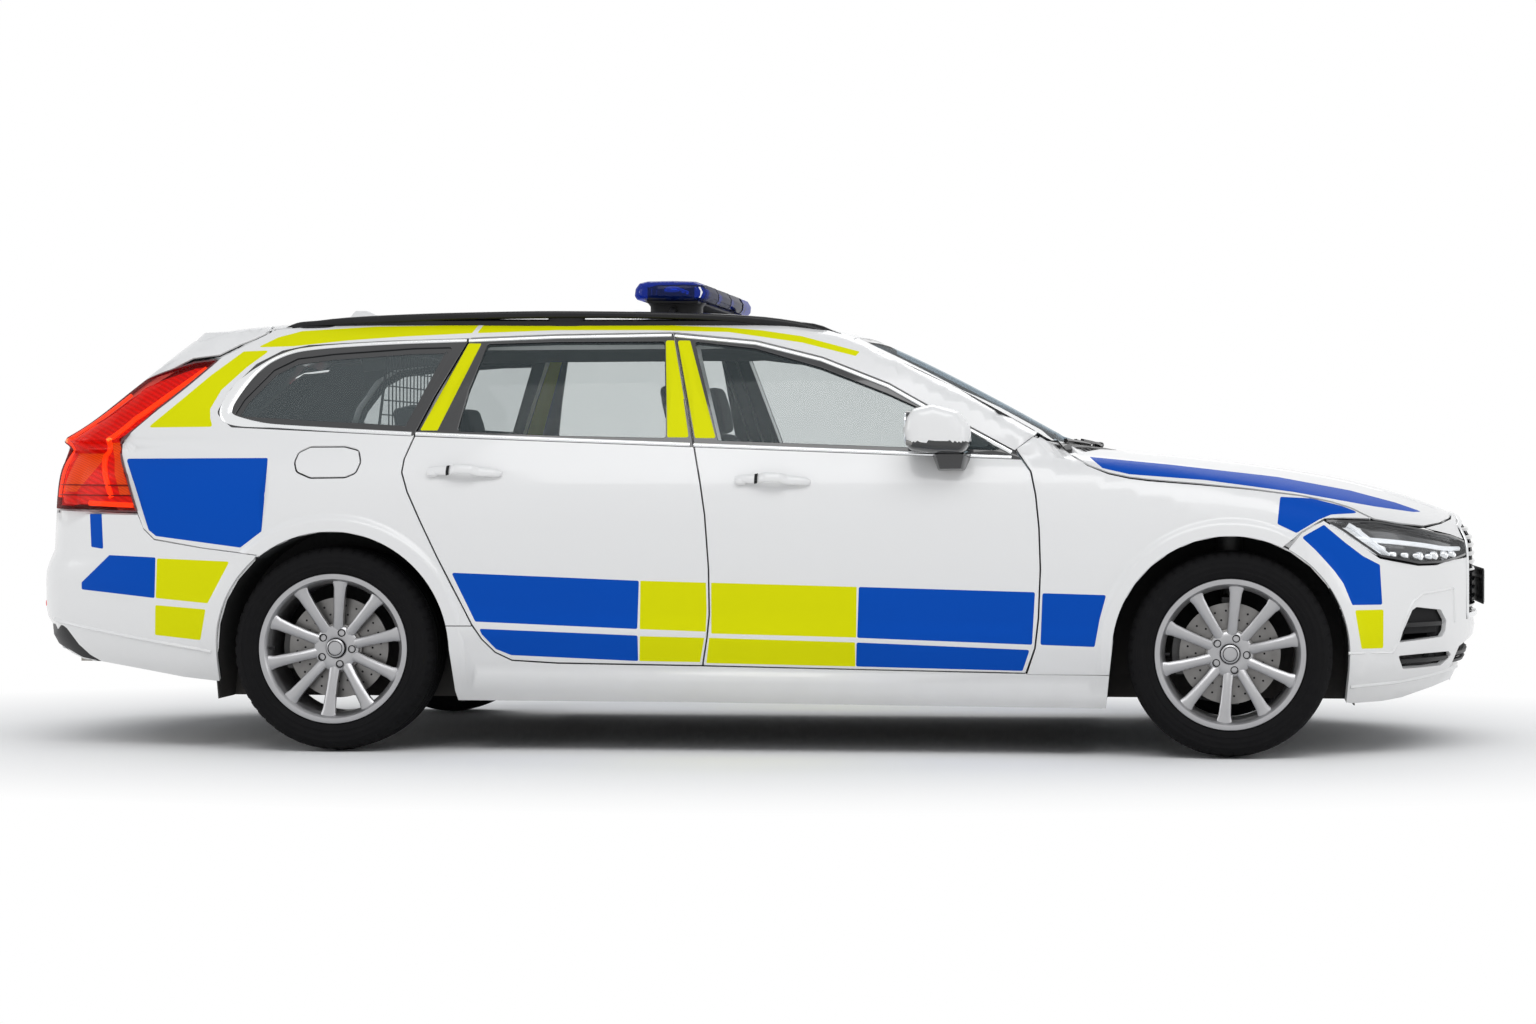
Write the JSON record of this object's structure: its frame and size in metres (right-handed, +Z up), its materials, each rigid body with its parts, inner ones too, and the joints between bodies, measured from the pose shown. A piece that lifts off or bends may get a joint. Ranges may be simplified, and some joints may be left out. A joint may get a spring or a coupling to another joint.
{
  "type": "estate patrol car",
  "caption": "Long-roofed patrol estate car with opening doors, tailgate, bonnet and fuel flap, turning wheels and steering.",
  "frame": {"origin": "on the ground under the middle of the car's length and width", "axes": "+X to the front, +Y to the left side, +Z up"},
  "size_m": [4.949, 2.0914, 1.5689],
  "materials": {
    "body_paint": "satin white paint with fluorescent yellow and blue film",
    "underbody": "matt dark undercoat",
    "black_plastic": "grained black plastic",
    "rail_black": "gloss black",
    "clear_lens": "clear lens over a dark reflector",
    "red_lens": "moulded red lens",
    "blue_lens": "clear blue polycarbonate",
    "glass": "dark tinted glass",
    "seat_fabric": "woven charcoal cloth",
    "cabin_plastic": "grained soft-touch plastic",
    "guard_wire": "black coated wire",
    "cast_metal": "plain casting",
    "exhaust_steel": "dull stainless steel",
    "plate": "blank white reflective plate",
    "tyre": "black rubber with side rings",
    "wheel_alloy": "silver lacquered alloy",
    "disc_iron": "machined grey iron"
  },
  "bodies": {
    "root": {"floor_pan": "underbody", "body_side_left": "body_paint", "body_side_right": "body_paint", "roof_panel": "body_paint", "front_fenders": "body_paint", "front_bumper": "body_paint", "grille": "black_plastic", "rear_bumper": "body_paint", "headlamps": "clear_lens", "tail_lamps": "red_lens", "windscreen": "glass", "quarter_glass": "glass", "roof_rails": "rail_black", "light_bar": "blue_lens", "antenna_fin": "body_paint", "front_seats": "seat_fabric", "rear_bench": "seat_fabric", "dashboard": "cabin_plastic", "cargo_guard": "guard_wire", "engine_block": "cast_metal", "exhaust": "exhaust_steel", "front_suspension": "underbody", "rear_suspension": "underbody", "wheel_liners": "black_plastic", "front_plate": "plate", "wipers": "black_plastic", "cowl": "black_plastic", "tow_sockets": "underbody"},
    "knuckle_left": {"knuckle_left": "underbody"},
    "knuckle_right": {"knuckle_right": "underbody"},
    "wheel_front_left": {"tyre_front_left": "tyre", "rim_front_left": "wheel_alloy", "disc_front_left": "disc_iron"},
    "wheel_front_right": {"tyre_front_right": "tyre", "rim_front_right": "wheel_alloy", "disc_front_right": "disc_iron"},
    "wheel_rear_left": {"tyre_rear_left": "tyre", "rim_rear_left": "wheel_alloy", "disc_rear_left": "disc_iron"},
    "wheel_rear_right": {"tyre_rear_right": "tyre", "rim_rear_right": "wheel_alloy", "disc_rear_right": "disc_iron"},
    "steering_wheel": {"steering_wheel": "cabin_plastic"},
    "front_door_left": {"front_door_left": "body_paint", "front_glass_left": "glass", "mirror_left": "black_plastic"},
    "front_door_right": {"front_door_right": "body_paint", "front_glass_right": "glass", "mirror_right": "black_plastic"},
    "rear_door_left": {"rear_door_left": "body_paint", "rear_glass_left": "glass"},
    "rear_door_right": {"rear_door_right": "body_paint", "rear_glass_right": "glass"},
    "tailgate": {"tailgate": "body_paint", "tailgate_glass": "glass", "rear_plate": "plate"},
    "bonnet": {"bonnet": "body_paint"},
    "fuel_flap": {"fuel_flap": "body_paint"}
  },
  "joints": [
    {"name": "steer_left", "type": "hinge", "parent": "root", "child": "knuckle_left", "pos_m": [1.596, 0.748, 0.3375], "axis": [0, 0, 1], "range_deg": [-35, 35]},
    {"name": "steer_right", "type": "hinge", "parent": "root", "child": "knuckle_right", "pos_m": [1.596, -0.748, 0.3375], "axis": [0, 0, 1], "range_deg": [-35, 35]},
    {"name": "steering_turn", "type": "hinge", "parent": "root", "child": "steering_wheel", "pos_m": [0.5, 0.37, 0.905], "axis": [-0.9135, 0, 0.4067], "range_deg": [-505, 505]},
    {"name": "spin_front_left", "type": "hinge", "parent": "knuckle_left", "child": "wheel_front_left", "pos_m": [1.596, 0.81, 0.3375], "axis": [0, 1, 0], "continuous": true},
    {"name": "spin_front_right", "type": "hinge", "parent": "knuckle_right", "child": "wheel_front_right", "pos_m": [1.596, -0.81, 0.3375], "axis": [0, 1, 0], "continuous": true},
    {"name": "spin_rear_left", "type": "hinge", "parent": "root", "child": "wheel_rear_left", "pos_m": [-1.345, 0.81, 0.3375], "axis": [0, 1, 0], "continuous": true},
    {"name": "spin_rear_right", "type": "hinge", "parent": "root", "child": "wheel_rear_right", "pos_m": [-1.345, -0.81, 0.3375], "axis": [0, 1, 0], "continuous": true},
    {"name": "front_door_left_hinge", "type": "hinge", "parent": "root", "child": "front_door_left", "pos_m": [0.976, 0.934, 0.6], "axis": [0, 0, -1], "range_deg": [0, 65]},
    {"name": "front_door_right_hinge", "type": "hinge", "parent": "root", "child": "front_door_right", "pos_m": [0.976, -0.934, 0.6], "axis": [0, 0, 1], "range_deg": [0, 65]},
    {"name": "rear_door_left_hinge", "type": "hinge", "parent": "root", "child": "rear_door_left", "pos_m": [-0.106, 0.938, 0.6], "axis": [0, 0, -1], "range_deg": [0, 68]},
    {"name": "rear_door_right_hinge", "type": "hinge", "parent": "root", "child": "rear_door_right", "pos_m": [-0.106, -0.938, 0.6], "axis": [0, 0, 1], "range_deg": [0, 68]},
    {"name": "tailgate_hinge", "type": "hinge", "parent": "root", "child": "tailgate", "pos_m": [-1.651, 0, 1.419], "axis": [0, 1, 0], "range_deg": [0, 85]},
    {"name": "bonnet_hinge", "type": "hinge", "parent": "root", "child": "bonnet", "pos_m": [1.045, 0, 1.016], "axis": [0, -1, 0], "range_deg": [0, 58]},
    {"name": "fuel_flap_hinge", "type": "hinge", "parent": "root", "child": "fuel_flap", "pos_m": [-1.266, -0.914, 0.95], "axis": [0, 0, 1], "range_deg": [0, 85]}
  ],
  "couplings": [
    {"joint": "steer_right", "follows": "steer_left", "ratio": 1},
    {"joint": "steering_turn", "follows": "steer_left", "ratio": 14.3}
  ]
}
